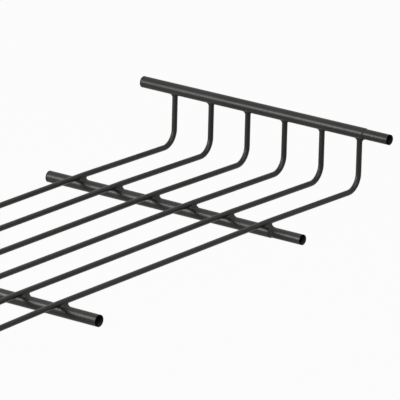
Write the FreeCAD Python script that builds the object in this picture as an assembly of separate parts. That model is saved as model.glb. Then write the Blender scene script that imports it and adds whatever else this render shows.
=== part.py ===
import FreeCAD, Part
import math
import os

# Welded steel wire cable tray: one module that plugs into the next at its tube ends.
# Six bent rods make the floor and the two side walls. A tube caps the uprights of
# each side, and two cross tubes lie under the floor. Every tube has a plain open
# end (socket) and, at the other end, a pressed-in spigot of bore size.
#
# Millimetres. X runs along the rods, Y along the tubes, Z up. The origin is under
# the middle of the tray, on the surface that the two cross tubes rest on.

# ---- driving dimensions -------------------------------------------------------

# Rods
rod_count = 6
rod_pitch = 50.0            # between neighbouring rods, along Y
rod_diameter = 6.2          # 6 mm wire and its coat
side_spacing = 690.0        # between the two side walls, at the upright axes
side_height = 60.8          # rail axis above the rod axis at the cross tubes
corner_radius = 18.0        # centre line of the bend from floor to upright
floor_droop = 1.1           # degrees: the floor falls away outside the cross tubes
droop_radius = 150.0        # centre line of that slight bend

# Tubes
tube_diameter = 12.9        # half-inch tube and its coat
tube_wall = 0.9
tube_edge_chamfer = 0.45    # deburred outer edge at both ends
cross_spacing = 352.0       # between the axes of the two cross tubes
rod_set_down = 0.45         # how deep the weld seats a rod into a cross tube

# Tube ends, measured along Y from the axis of the outermost rod
rail_shoulder_overhang = 7.0    # end of the tube that holds the spigot
cross_shoulder_overhang = 8.0
rail_socket_overhang = 44.6
right_cross_socket_overhang = 43.2
left_cross_socket_overhang = 49.0

# Spigots
spigot_bore = 9.2
spigot_clearance = 0.1      # on the diameter, between a spigot and a socket
spigot_tip_chamfer = 0.4
seat_depth = 32.0           # length of the spigot's root, pressed into its own tube
seat_step = 0.2             # how much wider the root's seat is cut than the bore, on the radius
rail_spigot_reach = 33.0    # length that stands out of a rail
cross_spigot_reach = 41.0   # length that stands out of a cross tube

# Weld beads
crossing_bead_radius = 5.5  # at the height where the rod meets the tube
crossing_bead_sag = 0.3     # hollow of the bead's two curved flanks
bead_head_slope = 25.0      # degrees: where the bead ends on the rod, below its middle
bead_overlap = 0.15         # by which the bead's blank starts inside the rod
upright_bead_leg = 3.4      # along the rail and down the upright
upright_bead_sag = 0.75     # hollow of the bead's curved face
upright_bead_lip = 0.8      # how far it stands out of the upright, across the rail

# ---- sizes that follow ----------------------------------------------------------

rod_radius = rod_diameter / 2
tube_radius = tube_diameter / 2
bore_radius = tube_radius - tube_wall
seat_radius = bore_radius + seat_step
spigot_radius = bore_radius - spigot_clearance / 2

cross_axis_z = tube_radius
rod_axis_z = cross_axis_z + tube_radius + rod_radius - rod_set_down
rail_axis_z = rod_axis_z + side_height
side_x = side_spacing / 2
cross_x = cross_spacing / 2
droop_x = cross_x + crossing_bead_radius + droop_radius * math.tan(math.radians(floor_droop) / 2)
outer_rod_y = (rod_count - 1) * rod_pitch / 2
rod_places = [index * rod_pitch - outer_rod_y for index in range(rod_count)]

UP = FreeCAD.Vector(0, 0, 1)
ALONG_ROD = FreeCAD.Vector(1, 0, 0)
ALONG_TUBE = FreeCAD.Vector(0, 1, 0)
FRONT = -1
BACK = 1


# ---- rods -------------------------------------------------------------------------

def rounded_path(corners, radii):
    """A wire of straight runs through the corners, joined by tangent arcs."""
    edges = []
    start = corners[0]
    for before, corner, after, radius in zip(corners, corners[1:], corners[2:], radii):
        way_in = (corner - before).normalize()
        way_out = (after - corner).normalize()
        turn = way_in.getAngle(way_out)
        trim = radius * math.tan(turn / 2)
        arc_start = corner - way_in * trim
        arc_end = corner + way_out * trim
        towards_centre = (way_out - way_in).normalize()
        centre = corner + towards_centre * (radius / math.cos(turn / 2))
        arc_middle = centre - towards_centre * radius
        edges.append(Part.LineSegment(start, arc_start).toShape())
        edges.append(Part.Arc(arc_start, arc_middle, arc_end).toShape())
        start = arc_end
    edges.append(Part.LineSegment(start, corners[-1]).toShape())
    return Part.Wire(edges)


def rod_blank(y):
    """One bent rod, its two uprights still reaching the axes of the rails."""
    drop = (side_x - droop_x) * math.tan(math.radians(floor_droop))
    half = [(side_x, rail_axis_z), (side_x, rod_axis_z - drop), (droop_x, rod_axis_z)]
    other_half = [(-x, z) for x, z in reversed(half)]
    corners = [FreeCAD.Vector(x, y, z) for x, z in half + other_half]
    path = rounded_path(corners, [corner_radius, droop_radius, droop_radius, corner_radius])
    section = Part.Face(Part.Wire(Part.makeCircle(rod_radius, corners[0], UP)))
    return path.makePipe(section)


def make_rod(y, tube_envelopes):
    """The rod with its ends coped to the rails and its seats in the cross tubes."""
    return rod_blank(y).cut(tube_envelopes)


# ---- tubes and spigots ----------------------------------------------------------------

def turned(profile, x, z):
    """A solid turned from (radius, y) points about the tube axis at x, z."""
    points = [FreeCAD.Vector(x + radius, y, z) for radius, y in profile]
    outline = Part.makePolygon(points + points[:1])
    return Part.Face(outline).revolve(FreeCAD.Vector(x, 0, z), ALONG_TUBE, 360)


def tube_ends(spigot_side, shoulder_overhang, socket_overhang):
    """Y of the tube's shoulder, where the spigot stands out, and of its open socket."""
    shoulder_y = spigot_side * (outer_rod_y + shoulder_overhang)
    socket_y = -spigot_side * (outer_rod_y + socket_overhang)
    return shoulder_y, socket_y


def tube_envelope(x, z, shoulder_y, socket_y):
    """The space inside the tube's outer skin, from end to end."""
    low_y = min(shoulder_y, socket_y)
    length = abs(shoulder_y - socket_y)
    return Part.makeCylinder(tube_radius, length, FreeCAD.Vector(x, low_y, z), ALONG_TUBE)


def make_tube(x, z, shoulder_y, socket_y, spigot_side):
    """A tube, open from end to end, whose bore widens into the seat of its spigot."""
    seat_y = shoulder_y - spigot_side * seat_depth
    profile = [
        (bore_radius, socket_y),
        (tube_radius - tube_edge_chamfer, socket_y),
        (tube_radius, socket_y + spigot_side * tube_edge_chamfer),
        (tube_radius, shoulder_y - spigot_side * tube_edge_chamfer),
        (tube_radius - tube_edge_chamfer, shoulder_y),
        (seat_radius, shoulder_y),
        (seat_radius, seat_y),
        (bore_radius, seat_y),
    ]
    return turned(profile, x, z)


def make_spigot(x, z, shoulder_y, spigot_side, reach):
    """A short tube: its root fills the seat, the rest stands out and fits a socket."""
    inner_radius = spigot_bore / 2
    seat_y = shoulder_y - spigot_side * seat_depth
    tip_y = shoulder_y + spigot_side * reach
    profile = [
        (inner_radius, seat_y),
        (seat_radius, seat_y),
        (seat_radius, shoulder_y),
        (spigot_radius, shoulder_y),
        (spigot_radius, tip_y - spigot_side * spigot_tip_chamfer),
        (spigot_radius - spigot_tip_chamfer, tip_y),
        (inner_radius, tip_y),
    ]
    return turned(profile, x, z)


# ---- weld beads ---------------------------------------------------------------------------

def hollow_arc(start, end, sag):
    """An arc up from one (radius, z) point to another, dished towards the Z axis by sag."""
    chord = FreeCAD.Vector(end[0] - start[0], 0, end[1] - start[1])
    inwards = FreeCAD.Vector(-chord.z, 0, chord.x).normalize()
    foot = FreeCAD.Vector(start[0], 0, start[1])
    return Part.Arc(foot, foot + chord / 2 + inwards * sag, foot + chord).toShape()


def turned_blob(flank):
    """The solid inside connected edges, listed from low to high, turned about the Z axis."""
    foot = flank[0].firstVertex().Point
    head = flank[-1].lastVertex().Point
    axis_foot = FreeCAD.Vector(0, 0, foot.z)
    axis_head = FreeCAD.Vector(0, 0, head.z)
    base = Part.makeLine(axis_foot, foot)
    lid = Part.makeLine(head, axis_head)
    core = Part.makeLine(axis_head, axis_foot)
    outline = Part.Wire([base] + flank + [lid, core])
    return Part.Face(outline).revolve(FreeCAD.Vector(0, 0, 0), UP, 360)


def crossing_bead(x, y, tube_skin):
    """The bead in the angle between a rod and the cross tube that it lies on."""
    ridge_z = rod_axis_z - rod_radius + rod_set_down / 2
    foot = (crossing_bead_radius, cross_axis_z + tube_radius / 2)
    ridge = (crossing_bead_radius, ridge_z)
    slope = math.radians(bead_head_slope)
    head = (rod_radius * math.cos(slope) - bead_overlap, rod_axis_z - rod_radius * math.sin(slope))
    flank = [hollow_arc(foot, ridge, crossing_bead_sag), hollow_arc(ridge, head, crossing_bead_sag)]
    blob = turned_blob(flank)
    blob.translate(FreeCAD.Vector(x, y, 0))
    reach = 2 * crossing_bead_radius
    rod = Part.makeCylinder(rod_radius, 2 * reach, FreeCAD.Vector(x - reach, y, rod_axis_z), ALONG_ROD)
    return blob.cut([rod, tube_skin])


def upright_bead(x, y, tube_skin):
    """The bead under a rail, on both sides of an upright, pointed along the rail."""
    rail_bottom_z = rail_axis_z - tube_radius
    rim_radius = rod_radius + upright_bead_leg
    foot = (rod_radius, rail_bottom_z - upright_bead_leg)
    rim = (rim_radius, rail_bottom_z)
    skirt = Part.makeLine(FreeCAD.Vector(rim_radius, 0, rail_bottom_z),
                          FreeCAD.Vector(rim_radius, 0, rail_axis_z))
    blob = turned_blob([hollow_arc(foot, rim, upright_bead_sag), skirt])

    half_width = rod_radius + upright_bead_lip
    side_radius = (rim_radius ** 2 + half_width ** 2) / (2 * half_width)
    height = rail_axis_z - foot[1]
    for side in (-1, 1):
        side_centre = FreeCAD.Vector(side * (side_radius - half_width), 0, foot[1])
        blob = blob.common(Part.makeCylinder(side_radius, height, side_centre))

    blob.translate(FreeCAD.Vector(x, y, 0))
    rod = Part.makeCylinder(rod_radius, height, FreeCAD.Vector(x, y, foot[1]))
    return blob.cut([rod, tube_skin])


# ---- assembly -------------------------------------------------------------------------------

# name, axis x, axis z, bead maker, side of the spigot, its reach, shoulder and socket overhang
tube_plan = [
    ("rail_right", side_x, rail_axis_z, upright_bead, FRONT, rail_spigot_reach,
     rail_shoulder_overhang, rail_socket_overhang),
    ("rail_left", -side_x, rail_axis_z, upright_bead, BACK, rail_spigot_reach,
     rail_shoulder_overhang, rail_socket_overhang),
    ("cross_tube_right", cross_x, cross_axis_z, crossing_bead, FRONT, cross_spigot_reach,
     cross_shoulder_overhang, right_cross_socket_overhang),
    ("cross_tube_left", -cross_x, cross_axis_z, crossing_bead, BACK, cross_spigot_reach,
     cross_shoulder_overhang, left_cross_socket_overhang),
]


def build_tray():
    """Every piece of the tray by name, in place."""
    pieces = {}
    skins = {}
    for name, x, z, bead, spigot_side, reach, shoulder_overhang, socket_overhang in tube_plan:
        shoulder_y, socket_y = tube_ends(spigot_side, shoulder_overhang, socket_overhang)
        skins[name] = tube_envelope(x, z, shoulder_y, socket_y)
        pieces[name] = make_tube(x, z, shoulder_y, socket_y, spigot_side)
        pieces["spigot_" + name] = make_spigot(x, z, shoulder_y, spigot_side, reach)

    for number, y in enumerate(rod_places, start=1):
        pieces["rod_%d" % number] = make_rod(y, list(skins.values()))

    for name, x, z, bead, *_ in tube_plan:
        beads = [bead(x, y, skins[name]) for y in rod_places]
        pieces["welds_" + name] = Part.makeCompound([solid for shape in beads for solid in shape.Solids])
    return pieces


os.makedirs("parts", exist_ok=True)
for piece_name, piece in build_tray().items():
    piece.exportStep("parts/" + piece_name + ".step")
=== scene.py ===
import math

import bmesh
import bpy
from mathutils import Matrix, Vector, noise


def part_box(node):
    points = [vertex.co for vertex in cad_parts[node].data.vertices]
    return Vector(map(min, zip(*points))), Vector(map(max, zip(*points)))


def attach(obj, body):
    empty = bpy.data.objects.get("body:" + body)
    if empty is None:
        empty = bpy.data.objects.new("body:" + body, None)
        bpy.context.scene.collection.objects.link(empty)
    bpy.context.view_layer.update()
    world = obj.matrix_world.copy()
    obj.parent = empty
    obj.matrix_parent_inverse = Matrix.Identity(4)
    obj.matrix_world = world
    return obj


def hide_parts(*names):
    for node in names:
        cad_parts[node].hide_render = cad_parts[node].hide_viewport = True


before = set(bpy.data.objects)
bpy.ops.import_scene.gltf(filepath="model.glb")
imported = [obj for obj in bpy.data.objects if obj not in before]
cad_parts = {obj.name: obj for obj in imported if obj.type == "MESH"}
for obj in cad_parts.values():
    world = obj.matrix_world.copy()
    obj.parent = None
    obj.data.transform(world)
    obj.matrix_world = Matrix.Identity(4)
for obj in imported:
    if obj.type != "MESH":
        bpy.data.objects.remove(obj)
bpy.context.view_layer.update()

# Welded steel wire cable tray in satin, almost black powder coat. Metres, Z up;
# X runs along the rods, Y along the tubes. Every piece rides on the one body.
BODY = "root"
MM = 0.001

TUBES = ("rail_right", "rail_left", "cross_tube_right", "cross_tube_left")
RAILS = TUBES[:2]
RODS = sorted(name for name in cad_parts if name.startswith("rod_"))


# ---- places read from the frame ------------------------------------------------------

def middle(node):
    """The middle of a node's box."""
    low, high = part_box(node)
    return (Vector(low) + Vector(high)) / 2


def tube_radius(node):
    """Half the height of a tube's box."""
    low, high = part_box(node)
    return (high[2] - low[2]) / 2


def spigot_side(tube):
    """The end of a tube that its spigot stands out of: -1 for low y, 1 for high y."""
    return -1 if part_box("spigot_" + tube)[0][1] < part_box(tube)[0][1] else 1


ROD_RADIUS = (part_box(RODS[0])[1][1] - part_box(RODS[0])[0][1]) / 2


# ---- material helpers ----------------------------------------------------------------

NOISE_LOW, NOISE_HIGH = 0.3, 0.7        # the range that most of a noise lies in


def new_material(name):
    """An empty node material, with its tree and its surface input."""
    material = bpy.data.materials.new(name)
    material.use_nodes = True
    tree = material.node_tree
    tree.nodes.clear()
    output = tree.nodes.new("ShaderNodeOutputMaterial")
    return material, tree, output.inputs["Surface"]


def add_noise(tree, vector, scale, detail):
    """A noise texture over the object's own coordinates."""
    node = tree.nodes.new("ShaderNodeTexNoise")
    node.inputs["Scale"].default_value = scale
    node.inputs["Detail"].default_value = detail
    tree.links.new(vector, node.inputs["Vector"])
    return node.outputs["Fac"]


def add_range(tree, value, to_low, to_high):
    """A noise carried from its usual range to another, clamped."""
    node = tree.nodes.new("ShaderNodeMapRange")
    node.inputs["From Min"].default_value = NOISE_LOW
    node.inputs["From Max"].default_value = NOISE_HIGH
    node.inputs["To Min"].default_value = to_low
    node.inputs["To Max"].default_value = to_high
    tree.links.new(value, node.inputs["Value"])
    return node.outputs["Result"]


def add_mix(tree, factor, first, second):
    """A colour between two colours."""
    node = tree.nodes.new("ShaderNodeMix")
    node.data_type = "RGBA"
    tree.links.new(factor, node.inputs["Factor"])
    node.inputs["A"].default_value = (*first, 1)
    node.inputs["B"].default_value = (*second, 1)
    return node.outputs["Result"]


def add_bump(tree, height, distance, strength, normal=None):
    """A bump on top of another normal."""
    node = tree.nodes.new("ShaderNodeBump")
    node.inputs["Distance"].default_value = distance
    node.inputs["Strength"].default_value = strength
    tree.links.new(height, node.inputs["Height"])
    if normal is not None:
        tree.links.new(normal, node.inputs["Normal"])
    return node.outputs["Normal"]


# ---- powder coat ---------------------------------------------------------------------

COAT_DARK = (0.0125, 0.0119, 0.0114)
COAT_PALE = (0.0185, 0.0176, 0.0168)
COAT_ROUGHNESS = 0.40
COAT_SPECULAR = 0.18
# painted shade: the weld beads are coloured darker than the coat, standing in for the rod's
# shadow on them
WELD_PAINTED_SHADE_DARK = (0.0070, 0.0067, 0.0064)
WELD_PAINTED_SHADE_PALE = (0.0115, 0.0110, 0.0105)
WELD_ROUGHNESS = 0.45
# painted light: the bore is coloured paler than the coat, standing in for light caught on its
# inner wall
BORE_PAINTED_LIGHT_DARK = (0.016, 0.015, 0.014)
BORE_PAINTED_LIGHT_PALE = (0.034, 0.032, 0.030)
BORE_ROUGHNESS = 0.6
# painted shade: the cut edges are near black and without gloss, standing in for the shade on
# the tube ends
EDGE_PAINTED_SHADE_DARK = (0.0008, 0.0008, 0.0008)
EDGE_PAINTED_SHADE_PALE = (0.0020, 0.0020, 0.0019)
EDGE_ROUGHNESS = 0.8
EDGE_SPECULAR = 0.0
PEEL_NOISE = (900.0, 2.0)               # orange peel: waves per metre, detail
GRAIN_NOISE = (5200.0, 1.0)             # fine powder grain
CLOUD_NOISE = (35.0, 3.0)               # slow drift in depth of colour
PEEL_BUMP = (0.04 * MM, 0.6)            # height, strength
GRAIN_BUMP = (0.01 * MM, 0.5)
GLOSS_DRIFT = (-0.04, 0.05)             # change of roughness: peel low, peel high


def powder_coat(name, dark, pale, roughness, specular=COAT_SPECULAR):
    """Satin powder coat: orange peel, fine grain and a slow drift of colour and gloss."""
    material, tree, surface = new_material(name)
    place = tree.nodes.new("ShaderNodeTexCoord").outputs["Object"]
    cloud = add_noise(tree, place, *CLOUD_NOISE)
    peel = add_noise(tree, place, *PEEL_NOISE)
    grain = add_noise(tree, place, *GRAIN_NOISE)

    coat = tree.nodes.new("ShaderNodeBsdfPrincipled")
    colour = add_mix(tree, add_range(tree, cloud, 0.0, 1.0), dark, pale)
    tree.links.new(colour, coat.inputs["Base Color"])
    gloss = add_range(tree, peel, roughness + GLOSS_DRIFT[0], roughness + GLOSS_DRIFT[1])
    tree.links.new(gloss, coat.inputs["Roughness"])
    coat.inputs["Specular IOR Level"].default_value = specular
    waves = add_bump(tree, peel, *PEEL_BUMP)
    tree.links.new(add_bump(tree, grain, *GRAIN_BUMP, waves), coat.inputs["Normal"])
    tree.links.new(coat.outputs["BSDF"], surface)
    return material


def link_piece(name, shell, materials):
    """A smooth piece on the body, made from a mesh in the making."""
    bmesh.ops.recalc_face_normals(shell, faces=shell.faces)
    mesh = bpy.data.meshes.new(name)
    shell.to_mesh(mesh)
    shell.free()
    mesh.shade_smooth()
    for material in materials:
        mesh.materials.append(material)
    piece = bpy.data.objects.new(name, mesh)
    bpy.context.collection.objects.link(piece)
    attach(piece, BODY)
    return piece


def dress(piece, material):
    """Give every slot of a piece one material."""
    piece.data.materials.clear()
    piece.data.materials.append(material)


rod_coat = powder_coat("rod_coat", COAT_DARK, COAT_PALE, COAT_ROUGHNESS)
tube_coat = powder_coat("tube_coat", COAT_DARK, COAT_PALE, COAT_ROUGHNESS)
# the weld material's darker colour is painted shade on the beads
weld_coat = powder_coat("weld_coat", WELD_PAINTED_SHADE_DARK, WELD_PAINTED_SHADE_PALE, WELD_ROUGHNESS)
# the bore material's paler colour is painted light inside the tubes
bore_painted_light = powder_coat("bore_painted_light", BORE_PAINTED_LIGHT_DARK, BORE_PAINTED_LIGHT_PALE, BORE_ROUGHNESS)
# the cut-edge material is painted shade on the rims of the tube ends
cut_edge_painted_shade = powder_coat("cut_edge_painted_shade", EDGE_PAINTED_SHADE_DARK, EDGE_PAINTED_SHADE_PALE, EDGE_ROUGHNESS, EDGE_SPECULAR)

for name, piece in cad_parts.items():
    dress(piece, rod_coat if name in RODS else tube_coat)


# ---- weld beads ----------------------------------------------------------------------
# A hand-laid bead fills the angle all round each joint: from a cross tube up to the rod
# on it, or from an upright out to the rail above it. Its two rims are sunk in the metal.

TUBE_RADIUS = tube_radius(TUBES[0])
SPIGOT_RADIUS = tube_radius("spigot_" + TUBES[0])
ROD_SET_DOWN = 0.45 * MM    # how deep a rod sits in a cross tube
ROD_HEIGHT = TUBE_RADIUS + ROD_RADIUS - ROD_SET_DOWN    # rod axis above the tube's axis

RING_STEPS = 60             # points round a bead
FLANK_STEPS = 8             # spans from its foot to its head
SINK = 0.2 * MM             # how far the rims of a bead lie inside the metal
CROSSING_FOOT = (5.4 * MM, 9.3 * MM)    # reach on the tube: across it, along it
CROSSING_HEAD = (8.6 * MM, 3.07 * MM)   # reach under the rod: along it, across it
CROSSING_CORNER = (4.6 * MM, 4.6 * MM)  # the depth of the angle between the two
CROSSING_FILL = 0.58        # how far the angle is filled, beyond the hollow curve
CROSSING_LEAN = 0.15        # more of the bead lies on the +X side of the tube, as a share
CROSSING_SQUARE = 0.75      # 1 for an oval plan, less for one with fuller corners
RAIL_HEAD = (4.2 * MM, 6.8 * MM)        # reach under the rail: across it, along it
RAIL_LEG = (1.6 * MM, 3.7 * MM)         # run down the upright, across the rail and along it
RAIL_FILL = 0.25            # how far the angle is filled, beyond the hollow curve
RAIL_SLIM = 0.78            # size of the bead on the side towards the spigot, as a share
RAIL_WIDE = 1.12            # the same where the bead runs over a near shoulder
LEDGE_STRETCH = 1.3         # further reach of a rim that runs over the end of a tube
BEAD_WANDER = 0.09          # uneven reach round a bead, as a share
WANDER_RADIUS = 1.3         # circle that each bead takes through the noise
WANDER_APART = 7.3          # step between the circles of two beads
RIPPLE_COUNT = 17           # ripples round a bead
RIPPLE_DEPTH = 0.018        # as a share of the reach


def skin_height(radius, offset):
    """Height of a round bar's skin above its axis, at an offset to the side."""
    return math.sqrt(radius ** 2 - offset ** 2)


def reach_factor(angle, seed):
    """The uneven reach of a hand-laid bead at one angle round it."""
    plan = (WANDER_RADIUS * math.cos(angle), WANDER_RADIUS * math.sin(angle))
    wander = noise.noise(Vector((*plan, WANDER_APART * seed)))
    ripple = math.sin(RIPPLE_COUNT * angle + seed)
    return 1 + BEAD_WANDER * wander + RIPPLE_DEPTH * ripple


def hollow_curve(foot, corner, head):
    """Points of the curve from foot to head that leans into the corner."""
    spans = [step / FLANK_STEPS for step in range(FLANK_STEPS + 1)]
    return [foot * (1 - t) ** 2 + corner * 2 * t * (1 - t) + head * t ** 2 for t in spans]


def land(y, room):
    """Where a rim ends along a tube, and the radius there: past the shoulder, the spigot's."""
    past = max(room[0] - y, y - room[1], 0.0)
    if past == 0.0:
        return y, TUBE_RADIUS
    return y + math.copysign(LEDGE_STRETCH * past, y), SPIGOT_RADIUS


def fuller(ratio):
    """A sine or cosine moved out towards the corners of the plan."""
    return math.copysign(abs(ratio) ** CROSSING_SQUARE, ratio)


def crossing_flank(angle, seed, room, outward):
    """A crossing bead's flank at one angle, from the tube's axis: up to the rod."""
    c, s = fuller(math.cos(angle)), fuller(math.sin(angle))
    reach = reach_factor(angle, seed)
    foot_x = CROSSING_FOOT[0] * reach * c
    foot_y, radius = land(CROSSING_FOOT[1] * reach * s, room)
    head_x = CROSSING_HEAD[0] * reach * c * (1 + math.copysign(CROSSING_LEAN, c))
    head_y = CROSSING_HEAD[1] * s
    foot = Vector((foot_x, foot_y, skin_height(radius, foot_x)))
    head = Vector((head_x, head_y, ROD_HEIGHT - skin_height(ROD_RADIUS, head_y)))
    corner_z = s * s * TUBE_RADIUS + c * c * (ROD_HEIGHT - ROD_RADIUS)
    corner = Vector((CROSSING_CORNER[0] * c, CROSSING_CORNER[1] * s, corner_z))
    corner = corner.lerp((foot + head) / 2, CROSSING_FILL)
    down, inward = Vector((0, 0, -SINK)), Vector((-c * SINK, -s * SINK, 0))
    return [foot + down] + hollow_curve(foot, corner, head) + [head - down + inward]


def rail_side(toward, room, outward):
    """Size of a rail bead as a share: it changes smoothly towards the spigot's side."""
    shoulder = -room[0] if outward < 0 else room[1]
    size = RAIL_WIDE if shoulder < RAIL_HEAD[1] / RAIL_SLIM else RAIL_SLIM
    return 1 + (size - 1) * max(toward * outward, 0.0)


def rail_flank(angle, seed, room, outward):
    """A rail bead's flank at one angle, from the rail's axis: out from the upright."""
    c, s = math.cos(angle), math.sin(angle)
    reach = reach_factor(angle, seed) * rail_side(s, room, outward)
    rim_x, rim_y = ROD_RADIUS * c, ROD_RADIUS * s
    head_x = RAIL_HEAD[0] * c
    head_y, radius = land(RAIL_HEAD[1] * reach * s, room)
    leg = (RAIL_LEG[0] * c * c + RAIL_LEG[1] * s * s) * reach
    corner = Vector((rim_x, rim_y, -skin_height(TUBE_RADIUS, rim_x)))
    foot = corner - Vector((0, 0, leg))
    head = Vector((head_x, head_y, -skin_height(radius, head_x)))
    corner = corner.lerp((foot + head) / 2, RAIL_FILL)
    up, inward = Vector((0, 0, SINK)), Vector((-c * SINK, -s * SINK, 0))
    return [foot + inward] + hollow_curve(foot, corner, head) + [head + up]


def add_bead(shell, place, flank, *joint):
    """One closed bead, added to a mesh in the making."""
    rings = []
    for step in range(RING_STEPS):
        points = flank(2 * math.pi * step / RING_STEPS, *joint)
        rings.append([shell.verts.new(place + point) for point in points])
    foot_pole, head_pole = [
        shell.verts.new(sum((ring[row].co for ring in rings), Vector()) / RING_STEPS)
        for row in (0, -1)
    ]
    for ring, after in zip(rings, rings[1:] + rings[:1]):
        for low in range(len(ring) - 1):
            shell.faces.new((ring[low], after[low], after[low + 1], ring[low + 1]))
        shell.faces.new((foot_pole, after[0], ring[0]))
        shell.faces.new((head_pole, ring[-1], after[-1]))


def make_welds(tube, material):
    """The six beads of a tube as one piece, in place of the plain ones."""
    axis = middle(tube)
    low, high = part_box(tube)
    flank = rail_flank if tube in RAILS else crossing_flank
    shell = bmesh.new()
    for number, rod in enumerate(RODS):
        place = Vector((axis.x, middle(rod).y, axis.z))
        room = (low[1] - place.y, high[1] - place.y)
        seed = len(RODS) * TUBES.index(tube) + number
        add_bead(shell, place, flank, seed, room, spigot_side(tube))
    piece = link_piece("weld_beads_" + tube, shell, [material])
    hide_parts("welds_" + tube)


# each tube's beads take the darker weld colour, which is painted shade
for tube in TUBES:
    make_welds(tube, weld_coat)


# ---- tubes and spigots ---------------------------------------------------------------
# Each stands in for the plain one with its cut edges rounded over. The cut edges are painted
# near black with no gloss, as painted shade, and the bore is painted paler than the coat, as
# painted light caught on its inner wall. At the step down to a spigot the coat runs together
# in the corner.

BORE_RADIUS = 5.55 * MM     # inside of a tube
SPIGOT_BORE = 4.6 * MM      # inside of a spigot
EDGE_ROUND = 0.4 * MM       # outer corner of a cut end
LIP_ROUND = 0.2 * MM        # inner corner
EDGE_SPANS = 4              # spans round each rounded corner
# painted shade: the near-black cut edge runs this far along the skin and into the bore
RIM_RUN = 1.2 * MM          # how far the dark edge reaches along the skin
RIM_DEPTH = 0.5 * MM        # and into the bore
STEP_RUN = 1.2 * MM         # coat in the corner: along the spigot
STEP_RISE = 0.6 * MM        # and up the end of the tube
STEP_TUCK = STEP_RISE / 5   # how far its head lies inside the end of the tube
TURN_STEPS = 96             # points round a tube
SKIN, RIM, BORE = range(3)  # kinds of face, in the order of a tube's coats


def cut_end(end, inward, outer, inner):
    """Section points (radius, y) round an end, from the skin into the bore."""
    quarter = [math.pi / 2 * step / EDGE_SPANS for step in range(EDGE_SPANS + 1)]
    points = [(outer, end + inward * RIM_RUN)]
    for a in quarter:
        radius = outer - EDGE_ROUND * (1 - math.cos(a))
        points.append((radius, end + inward * EDGE_ROUND * (1 - math.sin(a))))
    for a in quarter:
        radius = inner + LIP_ROUND * (1 - math.sin(a))
        points.append((radius, end + inward * LIP_ROUND * (1 - math.cos(a))))
    return points + [(inner, end + inward * RIM_DEPTH)]


def turn_section(shell, axis, section):
    """A closed section of (radius, y, face kind), turned about a tube's axis."""
    rings = []
    for step in range(TURN_STEPS):
        angle = 2 * math.pi * step / TURN_STEPS
        out_x, out_z = math.cos(angle), math.sin(angle)
        rings.append([
            shell.verts.new((axis.x + radius * out_x, y, axis.z + radius * out_z))
            for radius, y, kind in section
        ])
    for ring, after in zip(rings, rings[1:] + rings[:1]):
        for index, (radius, y, kind) in enumerate(section):
            follow = (index + 1) % len(section)
            face = shell.faces.new((ring[index], after[index], after[follow], ring[follow]))
            face.material_index = kind


def turned_tube(node, outer, inner, rims, materials):
    """A tube between the ends of a node, in place of it."""
    low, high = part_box(node)
    front = cut_end(low[1], 1, outer, inner)
    back = cut_end(high[1], -1, outer, inner)[::-1]
    kinds = [rims[0]] * (len(front) - 1) + [BORE] + [rims[1]] * (len(back) - 1) + [SKIN]
    section = [(*point, kind) for point, kind in zip(front + back, kinds)]
    shell = bmesh.new()
    turn_section(shell, middle(node), section)
    piece = link_piece("turned_" + node, shell, materials)
    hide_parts(node)


def make_step_coat(tube, material):
    """A hollow ring of coat in the corner at the foot of a tube's spigot."""
    low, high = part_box(tube)
    outward = spigot_side(tube)
    shoulder = low[1] if outward < 0 else high[1]
    foot = Vector((SPIGOT_RADIUS, STEP_RUN))
    head = Vector((SPIGOT_RADIUS + STEP_RISE, -STEP_TUCK))
    skin = hollow_curve(foot, Vector((SPIGOT_RADIUS, 0.0)), head)
    inside = [Vector((SPIGOT_RADIUS - SINK, out)) for out in (head.y, foot.y)]
    section = [(radius, shoulder + outward * out, SKIN) for radius, out in skin + inside]
    shell = bmesh.new()
    turn_section(shell, middle(tube), section)
    link_piece("step_coat_" + tube, shell, [material])


for tube in TUBES:
    coats = [tube_coat, cut_edge_painted_shade, bore_painted_light]
    rims = (SKIN, RIM) if spigot_side(tube) < 0 else (RIM, SKIN)
    turned_tube(tube, TUBE_RADIUS, BORE_RADIUS, rims, coats)
    turned_tube("spigot_" + tube, SPIGOT_RADIUS, SPIGOT_BORE, (RIM, RIM), coats)
    make_step_coat(tube, tube_coat)


# ---- floor, light and camera ---------------------------------------------------------

FLOOR_HALF = 60.0           # metres from its middle to an edge
FLOOR_COLOUR = (0.17, 0.15, 0.12)
FLOOR_SHADE = 0.035         # how much of the real shading the white floor shows
WORLD_STRENGTH = 0.34
KEY_LAMP = ((-0.82, 0.68, 0.45), 0.4, 23)   # place, side, watts
TOP_LAMP = ((-0.6, -0.8, 1.8), 1.4, 34)


def seen_white(tree):
    """1 for rays that show the background: camera, glossy and transmission rays."""
    path = tree.nodes.new("ShaderNodeLightPath")
    total = path.outputs["Is Camera Ray"]
    for name in ("Is Glossy Ray", "Is Transmission Ray"):
        node = tree.nodes.new("ShaderNodeMath")
        node.operation = "MAXIMUM"
        tree.links.new(total, node.inputs[0])
        tree.links.new(path.outputs[name], node.inputs[1])
        total = node.outputs["Value"]
    return total


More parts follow.
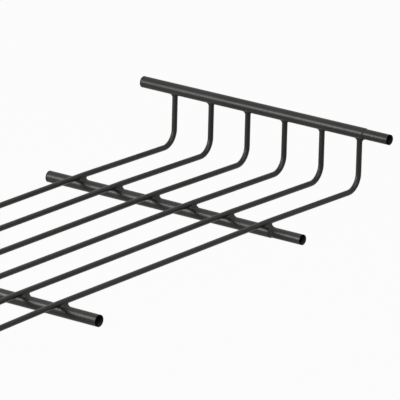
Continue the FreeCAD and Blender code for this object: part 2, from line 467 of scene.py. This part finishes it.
def make_floor():
    """A wide pale floor that looks white and keeps a soft shadow."""
    mesh = bpy.data.meshes.new("floor")
    corners = [(-1, -1), (1, -1), (1, 1), (-1, 1)]
    points = [(x * FLOOR_HALF, y * FLOOR_HALF, 0) for x, y in corners]
    mesh.from_pydata(points, [], [(0, 1, 2, 3)])
    floor = bpy.data.objects.new("floor", mesh)
    bpy.context.collection.objects.link(floor)
    material, tree, surface = new_material("floor")
    diffuse = tree.nodes.new("ShaderNodeBsdfDiffuse")
    diffuse.inputs["Color"].default_value = (*FLOOR_COLOUR, 1)
    glow = tree.nodes.new("ShaderNodeEmission")
    glow.inputs["Strength"].default_value = 1.0
    factor = tree.nodes.new("ShaderNodeMath")
    factor.operation = "MULTIPLY"
    factor.inputs[1].default_value = 1 - FLOOR_SHADE
    tree.links.new(seen_white(tree), factor.inputs[0])
    mix = tree.nodes.new("ShaderNodeMixShader")
    tree.links.new(factor.outputs["Value"], mix.inputs["Fac"])
    tree.links.new(diffuse.outputs["BSDF"], mix.inputs[1])
    tree.links.new(glow.outputs["Emission"], mix.inputs[2])
    tree.links.new(mix.outputs["Shader"], surface)
    mesh.materials.append(material)


def make_world():
    """White where it shows, and a soft grey light elsewhere."""
    world = bpy.data.worlds.new("studio")
    bpy.context.scene.world = world
    world.use_nodes = True
    tree = world.node_tree
    tree.nodes.clear()
    output = tree.nodes.new("ShaderNodeOutputWorld")
    light = tree.nodes.new("ShaderNodeBackground")
    light.inputs["Strength"].default_value = WORLD_STRENGTH
    white = tree.nodes.new("ShaderNodeBackground")
    mix = tree.nodes.new("ShaderNodeMixShader")
    white.inputs["Color"].default_value = (1, 1, 1, 1)
    tree.links.new(seen_white(tree), mix.inputs["Fac"])
    tree.links.new(light.outputs["Background"], mix.inputs[1])
    tree.links.new(white.outputs["Background"], mix.inputs[2])
    tree.links.new(mix.outputs["Shader"], output.inputs["Surface"])


def softbox(name, place, side, watts):
    """A square lamp that looks at the middle of the tray."""
    data = bpy.data.lights.new(name, "AREA")
    data.shape = "RECTANGLE"
    data.size = side
    data.size_y = side
    data.energy = watts
    lamp = bpy.data.objects.new(name, data)
    bpy.context.collection.objects.link(lamp)
    lamp.location = place
    lamp.rotation_euler = Vector(place).to_track_quat("Z", "Y").to_euler()


make_floor()
make_world()
softbox("key", *KEY_LAMP)
softbox("top", *TOP_LAMP)

CAMERA_LENS = 530.32        # on a 36 mm sensor: a long lens, almost without perspective
CAMERA_AIM = (0.12941, -0.07142, 0.04054)
CAMERA_DISTANCE = 6.2472
CAMERA_TURN = 53.660        # degrees from +Y towards +X
CAMERA_DROP = 17.571        # degrees below the horizon
CAMERA_ROLL = 1.4694        # degrees
CAMERA_CLIP = (0.1, 200)    # nearest and farthest that it sees


def make_camera():
    """The photograph's camera."""
    data = bpy.data.cameras.new("camera")
    data.lens = CAMERA_LENS
    data.clip_start, data.clip_end = CAMERA_CLIP
    camera = bpy.data.objects.new("camera", data)
    bpy.context.collection.objects.link(camera)
    turn = math.radians(CAMERA_TURN)
    drop = math.radians(CAMERA_DROP)
    across = math.cos(drop)
    ahead = Vector((math.sin(turn) * across, math.cos(turn) * across, -math.sin(drop)))
    camera.location = Vector(CAMERA_AIM) - ahead * CAMERA_DISTANCE
    level = ahead.to_track_quat("-Z", "Y").to_matrix()
    roll = Matrix.Rotation(math.radians(CAMERA_ROLL), 3, "Z")
    camera.rotation_euler = (level @ roll).to_euler()
    bpy.context.scene.camera = camera


make_camera()
bpy.context.scene.view_settings.view_transform = "Standard"
